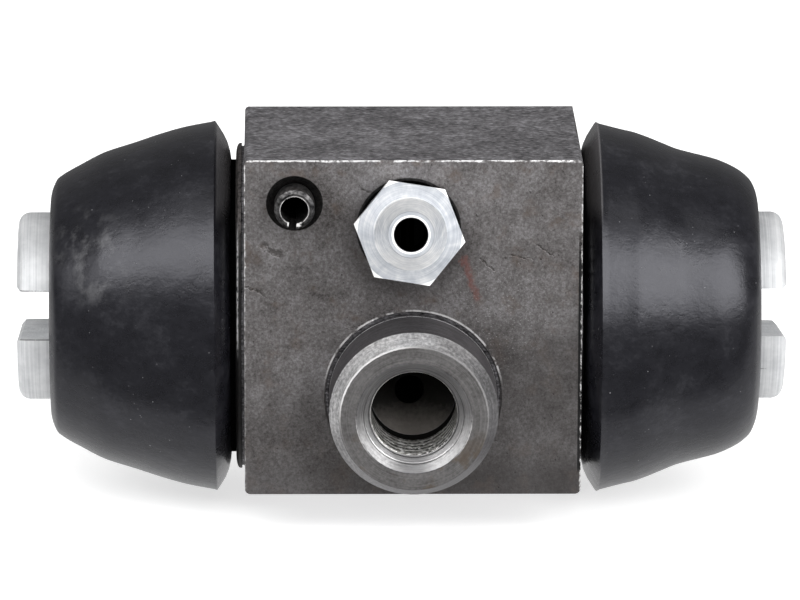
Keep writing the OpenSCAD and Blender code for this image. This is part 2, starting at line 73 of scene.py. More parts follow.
# The housing is one grey iron casting, coarse where it stayed as cast, milled flat on the pad's
# front and turned on the boss, the collars and the noses. Bright metal shows along its cut edges,
# painted brighter as highlights, and its holes, grooves and recesses carry painted shade.
class Layer:
    """A number, colour or vector that varies over a surface: a socket of a material's nodes."""

    def __init__(self, tree, socket=None):
        self.tree, self.socket = tree, socket

    def node(self, kind, settings, inputs, output=0):
        made = self.tree.nodes.new("ShaderNode" + kind)
        for name, value in settings.items():
            if name == "stops":
                ramp = made.color_ramp.elements
                while len(ramp) < len(value):
                    ramp.new(0.5)
                for stop, (at, tone) in zip(ramp, value):
                    stop.position = at
                    stop.color = (*tone, 1) if isinstance(tone, tuple) else (tone, tone, tone, 1)
            else:
                setattr(made, name, value)
        for name, value in inputs.items():
            if isinstance(value, Layer):
                self.tree.links.new(value.socket, made.inputs[name])
            else:
                made.inputs[name].default_value = value
        return Layer(self.tree, made.outputs[output])

    def sum(self, operation, *values):
        return self.node("Math", {"operation": operation}, dict(enumerate(values)))

    def __add__(self, other):
        return self.sum("ADD", self, other)

    def __sub__(self, other):
        return self.sum("SUBTRACT", self, other)

    def __rsub__(self, other):
        return self.sum("SUBTRACT", other, self)

    def __mul__(self, other):
        return self.sum("MULTIPLY", self, other)

    def __truediv__(self, other):
        return self.sum("DIVIDE", self, other)

    def __pow__(self, other):
        return self.sum("POWER", self, other)

    def size(self):
        return self.sum("ABSOLUTE", self)

    def most(self, *others):
        highest = self
        for other in others:
            highest = self.sum("MAXIMUM", highest, other)
        return highest

    def least(self, other):
        return self.sum("MINIMUM", self, other)

    __radd__, __rmul__ = __add__, __mul__

    def rise(self, low, high):
        """0 below low, 1 above high, smooth between; falls if low is above high."""
        flip = low > high
        settings = {"interpolation_type": "SMOOTHSTEP", "clamp": True}
        sockets = {0: self, 1: min(low, high), 2: max(low, high), 3: float(flip), 4: float(not flip)}
        return self.node("MapRange", settings, sockets)

    def band(self, low, high, soft):
        """1 between low and high, 0 outside."""
        return self.rise(low - soft, low + soft) * self.rise(high + soft, high - soft)

    def over(self, below, mask):
        """This colour laid on the one below it, through a mask from 0 to 1."""
        return self.node("Mix", {"data_type": "RGBA"}, {0: mask, 6: below, 7: self}, 2)


class Surface(Layer):
    """A new material for CAD nodes or pieces, with its lengths in millimetres on the object."""

    def __init__(self, name, **sockets):
        self.material = bpy.data.materials.new(name)
        self.material.use_nodes = True
        super().__init__(self.material.node_tree)
        self.shader = self.tree.nodes["Principled BSDF"]
        for socket, value in sockets.items():
            self.shader.inputs[socket.replace("_", " ")].default_value = value
        self.metres = self.node("TexCoord", {}, {}, "Object")
        self.place = self.node("VectorMath", {"operation": "SCALE"}, {0: self.metres, "Scale": 1000})
        self.x, self.y, self.z = (self.node("SeparateXYZ", {}, {0: self.place}, axis) for axis in "XYZ")

    def tones(self, value, *stops):
        """A ramp of tones over a value: (value, tone) pairs, with the tone a grey or a colour."""
        return self.node("ValToRGB", {"stops": stops}, {0: value})

    def flat(self, *tone):
        plain = self.node("RGB", {}, {})
        plain.socket.default_value = (*tone, 1)
        return plain

    def join(self, x, y, z):
        return self.node("CombineXYZ", {}, {0: x, 1: y, 2: z})

    def noise(self, size, detail=3.0, rough=0.5, stretch=(1, 1, 1), place=None, shift=0.0):
        """Uneven patches about size millimetres across, from 0 to 1."""
        spot = self.node("Mapping", {}, {0: place or self.place, "Location": (shift, shift, shift),
                                         "Scale": tuple(1 / (size * s) for s in stretch)})
        return self.node("TexNoise", {}, {"Vector": spot, "Scale": 1.0, "Detail": detail, "Roughness": rough})

    def from_axis(self, a, b):
        """Distance from an axis, from the two coordinates across it."""
        return ((a * a) + (b * b)) ** 0.5

    def coat(self, colour, roughness, bumps=(), metallic=None):
        """Lays the colour and roughness on the shader, and the heights in millimetres as bumps."""
        for socket, value in (("Base Color", colour), ("Roughness", roughness), ("Metallic", metallic)):
            if isinstance(value, Layer):
                self.tree.links.new(value.socket, self.shader.inputs[socket])
            elif value is not None:
                self.shader.inputs[socket].default_value = value
        if bumps:
            height = bumps[0]
            for more in bumps[1:]:
                height = height + more
            bump = self.node("Bump", {}, {"Height": height, "Distance": 0.001, "Strength": 1.0})
            self.tree.links.new(bump.socket, self.shader.inputs["Normal"])

    def cover(self, *objects):
        for thing in objects:
            thing.data.materials.clear()
            thing.data.materials.append(self.material)


def middle(node):
    """The middle of a CAD node's box, in millimetres."""
    low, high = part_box(node)
    return (low + high) * 500


iron = Surface("cast_and_cut_iron", Metallic=0.85)
x, y, z = iron.x, iron.y, iron.z
bore_y, bore_z = middle("piston_left").yz
pin_x, pin_z = middle("locating_pin").xz
bleed_x, bleed_z, bleed_lean = middle("bleed_screw").x, 17.8, math.radians(15)
bleed_cos, bleed_sin = math.cos(bleed_lean), math.sin(bleed_lean)
barrel_x, pad_half_width, pad_top = -0.35, 17.5, 25.5
boss_front, flat_r, sink_r, port_r = -7.62, 7.7, 5.98, 4.5
along_bore, bore_r = x - barrel_x, iron.from_axis(y - bore_y, z - bore_z)
boss_r = iron.from_axis(x, z)
boss = boss_r.rise(8.84, 8.78) * y.rise(0.45, 0.35)
milled = y.rise(0.06, 0.02) * (1 - boss)
turned_ends = along_bore.size().rise(17.46, 17.5) * bore_r.rise(22.0, 21.5)
foot_r = iron.from_axis(x, z - 0.08)
milled = milled.most(y.rise(0.6, 0.5) * foot_r.band(9.08, 9.45, 0.02))

# as cast: a coarse skin of long pits and ridges
pits = iron.noise(0.24, 3.0, 0.65, (2.4, 1, 1))
grain = iron.noise(0.5, 3.0, 0.6)
lumps = iron.noise(1.5, 2.0, 0.5)
patches = iron.noise(6.0, 3.0, 0.55)
skin = iron.tones(pits * 0.45 + grain * 0.25 + lumps * 0.15 + patches * 0.15, (0.37, (0.04, 0.038, 0.04)),
                  (0.5, (0.185, 0.179, 0.187)), (0.63, (0.45, 0.44, 0.46)))

# milled: mottled grey-brown, with darker stains and pores, and painted glints
clouds = iron.noise(3.4, 5.0, 0.62)
stains = iron.noise(9.0, 4.0, 0.6, shift=3.1)
speckle = iron.noise(0.35, 3.0, 0.6, shift=1.7)
grit = iron.noise(0.17, 3.0, 0.65, shift=4.4)
rust = iron.noise(2.6, 4.0, 0.6, shift=6.3)
mottle = clouds * 0.22 + stains * 0.28 + speckle * 0.25 + grit * 0.25
cut_face = iron.tones(mottle, (0.38, (0.085, 0.077, 0.074)), (0.5, (0.235, 0.222, 0.221)),
                      (0.62, (0.43, 0.417, 0.424)))
# the milled face darker towards the bottom, more so to the right and at the very bottom
lower_darkening = (z - 0.25 * x + 6.0 * (clouds - 0.5)).rise(8.0, 1.0)
cut_face = iron.flat(0.085, 0.079, 0.078).over(cut_face, lower_darkening * (0.32 + 0.2 * x.rise(-14.0, 4.0)
                                                                + 0.28 * z.rise(-5.5, -9.0)))
cut_face = iron.flat(0.19, 0.145, 0.12).over(cut_face, rust.rise(0.54, 0.7) * (0.5 - 0.3 * lower_darkening))
pores = iron.noise(0.42, 2.0, 0.5, shift=12.0).rise(0.66, 0.74)
cut_face = iron.flat(0.045, 0.04, 0.038).over(cut_face, pores * 0.7)
# painted glints: near-white specks on the milled face, right of and above the boss
glints = iron.noise(0.2, 2.0, 0.5, shift=15.0).rise(0.62, 0.7)
glints = glints * iron.from_axis(x - 9.5, z - 9.5).rise(8.0, 3.0)
cut_face = iron.flat(0.85, 0.83, 0.84).over(cut_face, glints * 0.5)
# painted shadow on the pad below and a little left of the bleed screw's hexagon
screw_shadow = iron.from_axis(x + 0.9, z - 16.9).rise(7.6, 5.0) * (0.35 + 0.4 * clouds)
cut_face = iron.flat(0.06, 0.053, 0.052).over(cut_face, screw_shadow)
tone = cut_face.over(skin, milled)
rough = (0.46 + 0.14 * clouds) * milled + (0.58 + 0.14 * grain) * (1 - milled)


def stroke(ax, az, bx, bz, width, broken=0.46):
    """A mark on the pad's face from one (x, z) point to another, in millimetres."""
    run, rise = bx - ax, bz - az
    length = math.hypot(run, rise)
    along = (x - ax) * (run / length) + (z - az) * (rise / length)
    across = (z - az) * (run / length) - (x - ax) * (rise / length)
    worn = iron.noise(0.6, 3.0, 0.7, shift=ax).rise(broken - 0.12, broken + 0.12)
    spread = (across + (grain - 0.5) * 0.9 + (clouds - 0.5) * 1.6).size()
    return along.band(0, length, 0.25) * spread.rise(width, width * 0.4) * worn * milled


smear = stroke(5.1, 15.2, 6.6, 10.4, 0.55, 0.42)
tone = iron.flat(0.34, 0.13, 0.11).over(tone, smear * 0.5)
dark_marks = stroke(-5.4, 22.4, -4.3, 22.25, 0.14).most(
    stroke(-15.6, 16.7, -13.5, 15.3, 0.42, 0.42), stroke(6.9, 14.7, 8.6, 13.7, 0.16),
    stroke(-17.4, 12.1, -15.2, 10.6, 0.2), stroke(9.6, 15.2, 13.4, 14.6, 0.14),
    stroke(12.6, 16.4, 14.6, 15.2, 0.14), stroke(-7.0, 7.4, -3.9, 8.3, 0.12))
tone = iron.flat(0.07, 0.062, 0.058).over(tone, dark_marks * 0.75)
nick = iron.from_axis(x + 9.0, z - 0.3).rise(0.17, 0.1) * milled
tone = iron.flat(0.9, 0.9, 0.88).over(tone, nick)

# turned: fine rings round the boss and round the bore
boss_rings = iron.noise(0.16, 2.0, 0.6, (1, 30, 1), iron.join(boss_r, x, y))
tone = iron.tones(boss_rings * 0.4 + clouds * 0.35 + speckle * 0.25, (0.34, (0.055, 0.052, 0.055)),
                  (0.66, (0.165, 0.158, 0.166))).over(tone, boss)
nicks = 0.14 * iron.noise(0.5, 3.0, 0.6, shift=9.0)
# boss's outer chamfer: turned metal with a painted highlight, strongest upper left and at the top
bright = iron.tones(boss_rings * 0.35 + speckle * 0.65, (0.36, (0.36, 0.355, 0.355)),
                    (0.5, (0.62, 0.615, 0.62)), (0.62, (0.97, 0.96, 0.96)))
lit_upper_left = (z - x) / boss_r * 0.7
rim = boss * (y - nicks).band(boss_front, -6.0, 0.05) * boss_r.rise(flat_r - 0.1, flat_r - 0.04)
sink = boss * (boss_r + nicks).rise(sink_r + 0.04, sink_r - 0.04) * y.rise(-5.72, -5.82)
tone = bright.over(tone, rim * (0.48 + 0.4 * lit_upper_left) * (0.4 + 0.6 * z.rise(-7.5, 1.0)))
front = boss * y.rise(boss_front + 0.02, boss_front - 0.02) * boss_r.rise(sink_r - 0.02, sink_r + 0.02)
worn_front = iron.tones(clouds * 0.4 + speckle * 0.3 + boss_rings * 0.3, (0.36, (0.1, 0.096, 0.094)),
                        (0.64, (0.27, 0.262, 0.262)))
worn_front = iron.flat(0.15, 0.115, 0.085).over(worn_front, rust.rise(0.5, 0.62) * z.rise(0.0, -5.0) * 0.7)
# painted sheen: the countersink lighter low down on the left and right
sheen = z.rise(1.0, -3.5) * x.size().rise(0.5, 3.5)
sink_tone_and_sheen = iron.tones(boss_rings * 0.5 + clouds * 0.5, (0.36, (0.36, 0.355, 0.36)), (0.64, (0.68, 0.675, 0.68)))
tone = sink_tone_and_sheen.over(worn_front.over(tone, front), sink * (0.5 + 0.5 * sheen))
off_front = (y - boss_front).size() + nicks
# painted highlights on the boss's cut edges: the flat's rim towards the top and upper left
inner_edge = boss * ((boss_r - flat_r).size() + off_front).rise(0.26, 0.17) * z.rise(-5.0, 3.0)
inner_edge = inner_edge * (0.25 + 0.5 * lit_upper_left.rise(0.55, 0.9))
# painted highlight on the countersink's edge, low on the left and right
sink_edge = boss * ((boss_r - sink_r).size() + off_front).rise(0.2, 0.1)
sink_edge = sink_edge * x.size().rise(3.5, 5.5) * z.rise(1.0, -1.5) * 0.5
shine = sink * sheen * (0.25 + 0.5 * speckle.rise(0.3, 0.7)) * boss_r.rise(4.6, 5.4)
foot_edge = boss * y.band(-0.2, 0.08, 0.04) * boss_r.rise(8.6, 8.7) * speckle.rise(0.3, 0.46)
# the relief's edge: a bright burr, shown only on its upper part as a painted highlight
partly = iron.noise(1.6, 3.0, 0.6, shift=2.2).rise(0.38, 0.5) * z.rise(1.0, 3.5)
relief_edge = milled * (boss_r + nicks * 0.5 - 9.36).size().rise(0.15, 0.07) * partly
# painted highlight specks on the chamfer's upper left
rim_highlight_specks = rim * lit_upper_left.rise(0.4, 1.0) * speckle
# bright edge lines: the boss foot's burr and the painted highlights above
edges = inner_edge.most(sink_edge, shine * 0.7, foot_edge * 0.7, relief_edge * 0.6, rim_highlight_specks * 0.35)
end_rings = iron.noise(0.2, 2.0, 0.6, (1, 30, 30), iron.join(along_bore, bore_r, z))
# the collar painted nearly black as painted shade by each boot, lighter specks at its top as painted light
collar = iron.tones(end_rings * 0.6 + speckle * 0.4, (0.3, (0.012, 0.0115, 0.012)),
                    (0.7, (0.05, 0.048, 0.048)))
collar = iron.flat(0.17, 0.155, 0.15).over(collar, z.rise(14.0, 18.0) * speckle.rise(0.3, 0.6) * 0.9)
tone = collar.over(tone, turned_ends)
worn = turned_ends * along_bore.size().band(17.8, 18.15, 0.04) * z.band(5.0, 16.5, 1.5) * y.rise(17.0, 15.0)
scratched = iron.noise(0.3, 4.0, 0.7, (1, 1, 2.0), shift=17.0).rise(0.38, 0.52)
worn = worn * bore_r.band(16.9, 17.25, 0.03) * scratched
edges = edges.most(worn * 0.8)

# the tapped hole: worn crests of the M10 x 1 thread with painted highlights low in the hole, painted
# shade in the groove at its end, and the drill's point painted dark at the top and lighter lower down
turn = iron.node("Math", {"operation": "ARCTAN2"}, {0: x, 1: z}) / math.tau
pitch = (y + turn).sum("FRACT", y + turn)
crest = (pitch - 0.5).size() * 2
in_port = boss_r.rise(port_r + 0.06, port_r)
in_thread = in_port * y.band(-5.9, -0.8, 0.03)
thread = iron.tones(crest * 0.25 + speckle * 0.4 + grain * 0.35, (0.38, (0.05, 0.047, 0.044)),
                    (0.5, (0.5, 0.49, 0.46)), (0.6, (0.95, 0.94, 0.91)))
tone = thread.over(tone, in_thread)
# painted highlights on the thread's crests in the lower half of the hole
edges = edges.most(in_thread * speckle.rise(0.5, 0.6) * z.rise(-1.0, -2.5) * 0.5)
lines = in_thread * y.band(-4.0, -3.7, 0.08) + sink * boss_r.band(4.6, 4.68, 0.03) * 0.6
lines = lines + sink * boss_r.band(5.1, 5.2, 0.04) * 0.4
tone = iron.flat(0.02, 0.019, 0.018).over(tone, lines.least(1.0))
# painted shade: the groove at the thread's end nearly black
tone = iron.flat(0.006, 0.006, 0.006).over(tone, in_port * y.band(-0.8, 1.0, 0.03))
# painted light and shade: the drill's point dark at the top and lighter towards the bottom
point = iron.tones(grain * 0.3 + z.rise(2.0, -4.4) * 0.7, (0.2, (0.006, 0.0055, 0.005)),
                   (0.5, (0.025, 0.0235, 0.022)), (0.85, (0.16, 0.146, 0.135)))
tone = point.over(tone, in_port * y.rise(0.98, 1.04) * y.rise(20.0, 19.0))

# holes for the locating pin and the bleed screw: cut, with painted shade in them and above the bleed
# screw's hexagon
pin_sink = iron.from_axis(x - pin_x, z - pin_z).rise(3.0, 2.93) * y.rise(0.0, 0.03) * y.rise(12.0, 11.0)
bleed_cut = iron.from_axis(x - bleed_x, (z - bleed_z) * bleed_cos + y * bleed_sin).rise(5.42, 5.36)
bleed_cut = bleed_cut * y.rise(0.0, 0.04) * y.rise(12.0, 11.0) * z.rise(10.0, 10.2)
# painted shade round the bleed screw's recess, showing above its hexagon
recess_top_shade = iron.from_axis(x - bleed_x, z - bleed_z - 0.4).rise(5.48, 5.36) * y.rise(0.06, 0.02)
hole_shade_tone = iron.tones(speckle, (0.3, (0.012, 0.0115, 0.0115)), (0.8, (0.05, 0.047, 0.046)))
tone = hole_shade_tone.over(tone, pin_sink.most(bleed_cut, recess_top_shade))

# bright burrs along the pad's cut edges, heavier on the top edge, painted near white as highlights
wander = 0.5 * iron.noise(0.8, 3.0, 0.65)
to_side, to_top = pad_half_width - x.size(), pad_top - z
side_burr = (to_side + wander * 0.8).rise(0.36, 0.24) * iron.noise(0.8, 4.0, 0.7, shift=5.0).rise(0.42, 0.54)
side_burr = side_burr * (0.75 - 0.45 * x.rise(1.0, -1.0) * z.rise(12.0, 2.0))
top_burr = (to_top + wander).rise(0.48, 0.34) * iron.noise(1.9, 3.0, 0.6, shift=8.0).rise(0.34, 0.46)
burr = milled * side_burr.most(top_burr)
edges = edges.most(burr * speckle.rise(0.3, 0.5) * 0.9)
# all bright edges: burrs and wear, painted near white with less metal sheen as highlights
tone = iron.flat(0.93, 0.92, 0.92).over(tone, edges)

shiny = rim.most(sink, in_thread, burr, edges)
rough = rough * (1 - shiny) + shiny * (0.3 + 0.12 * speckle)
as_cast = (1 - milled) * (1 - boss) * (1 - turned_ends) * (1 - in_port)
heights = [(pits * 0.16 + grain * 0.1 + lumps * 0.1) * as_cast, dark_marks * -0.05, lines * -0.1,
           (speckle * 0.016 + grit * 0.008 + clouds * 0.02 - pores * 0.02) * milled,
           (boss_rings * 0.01 + speckle * 0.02) * boss, (crest * 0.04 + speckle * 0.08) * in_thread]
iron.coat(tone, rough, heights, 0.85 - 0.75 * edges)
iron.cover(nodes["body"])

# The locating pin is a spring pin rolled from steel strip, with a slit, pressed into the pad.
rolled = Surface("rolled_pin_steel", Metallic=1.0)
pin_r = rolled.from_axis(rolled.x - pin_x, rolled.z - pin_z)
scuffs = rolled.noise(0.5, 3.0, 0.6)
lip = rolled.y.rise(-2.5, -2.6) * (pin_r + 0.1 * scuffs).rise(1.62, 1.56) * scuffs.rise(0.3, 0.45)
beside_slit = (rolled.x - pin_x).size().band(0.2, 0.75, 0.06) * rolled.z.rise(pin_z - 1.1, pin_z - 1.3)
lip = lip.most(beside_slit * rolled.y.rise(-2.45, -2.55) * pin_r.rise(1.9, 1.8) * scuffs.rise(0.3, 0.42))
pin_tone = rolled.tones(scuffs, (0.38, (0.04, 0.039, 0.04)), (0.62, (0.22, 0.215, 0.215)))
lip_tone = rolled.tones(scuffs, (0.35, (0.25, 0.246, 0.243)), (0.62, (0.62, 0.61, 0.6)))
lip_tone = rolled.flat(0.95, 0.94, 0.93).over(lip_tone, beside_slit * scuffs.rise(0.4, 0.5))
rolled.coat(lip_tone.over(pin_tone, lip), 0.34 + 0.15 * scuffs, [scuffs * 0.01], 1 - 0.6 * lip)
rolled.cover(nodes["locating_pin"])

# The bleed screw is turned from hexagonal bar and zinc plated: fine rings on its faces and
# nipple, and a drilled middle with painted shade in it. Painted highlights lie on the nipple's
# taper, end and widest edge and on the hexagon's corners, with a painted fan of sheen across it.
zinc = Surface("bright_zinc_plate", Metallic=1.0)
screw_out = (zinc.z - bleed_z) * bleed_sin - zinc.y * bleed_cos
screw_r = zinc.from_axis(zinc.x - bleed_x, (zinc.z - bleed_z) * bleed_cos + zinc.y * bleed_sin)
screw_rings = zinc.noise(0.13, 2.0, 0.55, (1, 40, 1), zinc.join(screw_r, zinc.x, screw_out))
haze = zinc.noise(1.6, 4.0, 0.6)
level_share = (zinc.x - bleed_x) / screw_r
# a painted fan of sheen round the screw's axis
fan_sheen = zinc.noise(0.22, 3.0, 0.6, place=zinc.join(level_share, (zinc.z - bleed_z) / screw_r, 0))
sideways = (level_share * level_share).rise(0.45, 1.0)
plate = zinc.tones(screw_rings * 0.4 + haze * 0.3 + fan_sheen * 0.3, (0.36, (0.46, 0.49, 0.54)),
                   (0.5, (0.66, 0.685, 0.725)), (0.62, (0.9, 0.905, 0.915)))
# painted highlight on the nipple's taper, lighter below and darker at the sides
cone = screw_r.band(2.42, 3.64, 0.05) * (0.35 + 0.5 * zinc.z.rise(bleed_z + 1, bleed_z - 1))
plate = zinc.flat(0.93, 0.915, 0.89).over(plate, cone * (1 - 0.9 * sideways))
plate = zinc.flat(0.4, 0.42, 0.46).over(plate, screw_r.band(2.0, 2.4, 0.04) * (0.35 + 0.4 * fan_sheen))
# painted highlights: white rings on the nipple's end and widest edge, and the hexagon's corners
tip = screw_r.band(1.74, 1.97, 0.03) * screw_out.rise(12.0, 12.3)
corner = screw_r.rise(5.3, 5.42)
plate = zinc.flat(1, 1, 1).over(plate, tip.most(corner, screw_r.band(3.62, 3.7, 0.03) * haze.rise(0.4, 0.6)))
# painted shade: the drilled middle nearly black
drilled = screw_r.rise(1.8, 1.74)
zinc.coat(zinc.flat(0.012, 0.012, 0.016).over(plate, drilled), 0.32 + 0.14 * haze,
          [screw_rings * 0.012 * (1 - drilled), haze * 0.012], 0.55 - 0.4 * tip.most(corner))
zinc.cover(nodes["bleed_screw"])

# The pistons are turned light metal, with tool rings round them and a milled slot across the
# outer end for the brake shoe's web.
light_metal = Surface("turned_piston_metal", Metallic=1.0)
piston_r = light_metal.from_axis(light_metal.y - bore_y, light_metal.z - bore_z)
ring_place = light_metal.join(light_metal.x, piston_r, light_metal.z)
tool_rings = light_metal.noise(0.2, 2.0, 0.6, (1, 1, 60), ring_place)
bloom = light_metal.noise(2.2, 4.0, 0.6)
turned = light_metal.tones(tool_rings * 0.5 + bloom * 0.5, (0.34, (0.49, 0.5, 0.515)),
                           (0.66, (0.77, 0.777, 0.785)))
slot_lean = light_metal.x.rise(1, -1) * 0.177 - light_metal.x.rise(-1, 1) * 0.202
off_slot = (light_metal.z - bore_z - (bore_y - light_metal.y) * slot_lean).size()
slot_edge = off_slot.band(2.54, 2.68, 0.04) * piston_r.rise(9.3, 9.5) * bloom.rise(0.44, 0.52)
turned = light_metal.flat(0.1, 0.1, 0.1).over(turned, slot_edge * 0.8)
light_metal.coat(turned, 0.5 + 0.14 * bloom, [tool_rings * 0.012, bloom * 0.01], 0.4)
light_metal.cover(nodes["piston_left"], nodes["piston_right"])

# The cup seals are smooth moulded rubber, wet with brake fluid.
seal = Surface("moulded_cup_rubber")
seal_spots = seal.noise(0.8, 3.0, 0.6)
seal.coat(seal.tones(seal_spots, (0.3, 0.012), (0.7, 0.024)), 0.26 + 0.16 * seal_spots, [seal_spots * 0.004])
seal.cover(nodes["cup_left"], nodes["cup_right"])

# The expanders are pressed from spring strip, and the return spring between them is coiled from
# round wire. The spring is cut at its middle into two halves.
wire = Surface("drawn_spring_steel", Metallic=1.0)
wire_spots = wire.noise(0.4, 3.0, 0.6)
wire_tone = wire.tones(wire_spots, (0.3, (0.24, 0.24, 0.25)), (0.7, (0.44, 0.44, 0.45)))
wire.coat(wire_tone, 0.32 + 0.1 * wire_spots, [wire_spots * 0.003])
wire.cover(nodes["expander_left"], nodes["expander_right"])


def grown(name, source, change):
    """A new object from a bmesh, which starts as the source's mesh or empty and which change shapes."""
    shape = bmesh.new()
    if source:
        shape.from_mesh(source.data)
    change(shape)
    mesh = bpy.data.meshes.new(name)
    shape.to_mesh(mesh)
    shape.free()
    made = bpy.data.objects.new(name, mesh)
    bpy.context.scene.collection.objects.link(made)
    return made


def smooth(thing, angle):
    """Smooth shading, apart from edges that turn by more than the angle."""
    for face in thing.data.polygons:
        face.use_smooth = True
    thing.data.set_sharp_from_angle(angle=math.radians(angle))


def half_spring(side):
    """Cuts the spring at its middle and keeps the half on one side, closed at the cut."""
    def cut(shape):
        bmesh.ops.remove_doubles(shape, verts=shape.verts, dist=1e-6)
        whole = shape.verts[:] + shape.edges[:] + shape.faces[:]
        bmesh.ops.bisect_plane(shape, geom=whole, plane_co=spring_middle, plane_no=(side, 0, 0),
                               clear_inner=True)
        bmesh.ops.holes_fill(shape, edges=[e for e in shape.edges if e.is_boundary], sides=0)
        bmesh.ops.recalc_face_normals(shape, faces=shape.faces)
    return cut


spring_low, spring_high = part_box("return_spring")
spring_middle = (spring_low + spring_high) / 2
for side, hand in ((-1, "left"), (1, "right")):
    half = grown("return_spring_" + hand, nodes["return_spring"], half_spring(side))
    smooth(half, 60)
    wire.cover(half)
    end = spring_low if side < 0 else spring_high
    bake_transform(half)
    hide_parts("return_spring")

# The boots are moulded black rubber. The bead of each sits in the barrel's groove, and its outer end
# grips the groove in the piston.
collar_end, lip_depth, wall = 18.1, 1.65, 1.4
bead_near, bead_far, bead_r, neck_r, inside_r = 18.13, 20.24, 14.26, 15.46, 16.86
grip_r, hook_r, hem_r, hem_back_r = 9.94, 8.91, 10.34, 11.44
boot_shares = {
    "left": [(0.02, 0.995), (0.18, 0.968), (0.33, 0.931), (0.49, 0.884), (0.655, 0.838), (0.74, 0.804),
             (0.815, 0.768), (0.89, 0.732), (0.935, 0.707), (0.965, 0.685), (0.985, 0.65)],
    "right": [(0.02, 0.992), (0.16, 0.961), (0.235, 0.946), (0.315, 0.922), (0.375, 0.901), (0.44, 0.878),
              (0.5, 0.857), (0.575, 0.839), (0.655, 0.822), (0.75, 0.8), (0.825, 0.774), (0.89, 0.744),
              (0.935, 0.714), (0.965, 0.686), (0.985, 0.652)],
}


def eased(points, steps=4):
    """Points of a smooth curve through the given ones."""
    held = [points[0], *points, points[-1]]
    path = []
    for a, b, c, d in zip(held, held[1:], held[2:], held[3:]):
        for k in range(steps):
            t = k / steps
            path.append(tuple((2 * q + (r - p) * t + (2 * p - 5 * q + 4 * r - s) * t * t
                               + (3 * q - p - 3 * r + s) * t ** 3) / 2 for p, q, r, s in zip(a, b, c, d)))
    return path + [points[-1]]


def inset(path, wall):
    """The same path, moved inwards by the wall's thickness."""
    moved = []
    for before, at, after in zip([path[0], *path], path, [*path[1:], path[-1]]):
        run, fall = after[0] - before[0], after[1] - before[1]
        size = math.hypot(run, fall)
        moved.append((at[0] + fall * wall / size, at[1] - run * wall / size))
    return moved


def boot_section(off, lip_r, end, head, shares):
    """The boot's section as (distance from the barrel's middle, radius) pairs, in millimetres."""
    face = collar_end + off
    lip = face + lip_depth
    chamfer = [(face + lip_depth * a, neck_r + (lip_r - neck_r) * b)
               for a, b in ((0, 0), (0.06, 0.21), (0.21, 0.45), (0.44, 0.66), (0.75, 0.86))]
    skin = eased([(lip + (end - lip) * a, lip_r * b) for a, b in shares])
    lining = [p for p in inset(skin, wall) if p[0] > bead_far + 0.06 and p[1] > hem_back_r + 0.06]
    edge = [(lip - 0.08, lip_r - 0.07), (lip, lip_r), (lip + 0.12, lip_r - 0.03)]
    hem = [(end - 0.1, skin[-1][1] - 0.45), (end, skin[-1][1] - 0.9), (end, grip_r + 0.36),
           (end - 0.15, grip_r + 0.02), (head + 0.06, grip_r), (head - 0.06, grip_r), (head - 0.06, hook_r),
           (head - 2.04, hook_r), (head - 2.04, hem_r), (head - 2.74, hem_r), (head - 2.74, hem_back_r),
           (lining[-1][0], hem_back_r)]
    bead = [(lining[0][0], inside_r), (bead_far, inside_r), (bead_far, bead_r), (bead_near, bead_r),
            (bead_near, neck_r)]
    return bead + chamfer + edge + skin + hem + lining[::-1]


def held(share):
    return max(0.0, min(1.0, share))


def spun_boot(side, section, lean, sag):
    """Spins the section round the bore; lean is how far its top tips outwards, sag how far it drops."""
    middle_y, middle_z = bore_y / 1000, bore_z / 1000

    def spin(shape):
        ring = [shape.verts.new(((side * s + barrel_x) / 1000, middle_y, middle_z + r / 1000))
                for s, r in section]
        edges = [shape.edges.new((a, b)) for a, b in zip(ring, ring[1:] + ring[:1])]
        bmesh.ops.spin(shape, geom=ring + edges, cent=(0, middle_y, middle_z), axis=(1, 0, 0), angle=math.tau,
                       steps=144, use_merge=True)
        bmesh.ops.remove_doubles(shape, verts=shape.verts, dist=1e-7)
        for v in shape.verts:
            s = side * (v.co.x * 1000 - barrel_x)
            high, deep = v.co.z - middle_z, v.co.y - middle_y
            r = math.hypot(high, deep) * 1000
            near_lip = held((r - 15.6) / 2.6) * held((37 - s) / 12)
            v.co.x += lean * high / 0.0194 * near_lip
            loose = held((r - 11.6) / 2) * held(max(0.0, (r - 15.5) / 1.5) + (s > 22))
            v.co.z -= sag * loose
        bmesh.ops.recalc_face_normals(shape, faces=shape.faces)
    return spin


rubber = Surface("black_boot_rubber", Specular_Tint=(0.93, 0.93, 1.0, 1))
flow = rubber.noise(5.0, 4.0, 0.6)
fine = rubber.noise(0.5, 4.0, 0.65)
smears = rubber.noise(1.8, 4.0, 0.7, (1.6, 1, 1), shift=2.0)
specks = rubber.node("Value", {}, {})
specks.socket.default_value = 0.0
for spacing, radius, shift in ((1.5, 0.07, 7.0), (0.8, 0.1, 3.0)):
    spots = rubber.node("TexVoronoi", {"feature": "F1"}, {"Vector": rubber.place, "Scale": 1 / spacing})
    sparse = rubber.noise(2.3, 2.0, 0.5, shift=shift).rise(0.5, 0.66)
    specks = specks.most(spots.rise(radius, radius * 0.4) * sparse)
black = rubber.tones(flow * 0.35 + smears * 0.4 + fine * 0.25, (0.36, (0.004, 0.004, 0.0055)),
                     (0.52, (0.008, 0.008, 0.0105)), (0.66, (0.022, 0.022, 0.026)))
handled = rubber.from_axis(rubber.x + 33.0, rubber.z - 13.5).rise(5.5, 2.0) * rubber.y.rise(15.0, 10.0)
wiped = rubber.noise(1.6, 5.0, 0.65, (1, 1, 1.5), shift=11.0).rise(0.46, 0.7) * handled
black = rubber.flat(0.12, 0.12, 0.124).over(black, wiped * 0.5)
from_bore = rubber.from_axis(rubber.y - bore_y, rubber.z - bore_z)
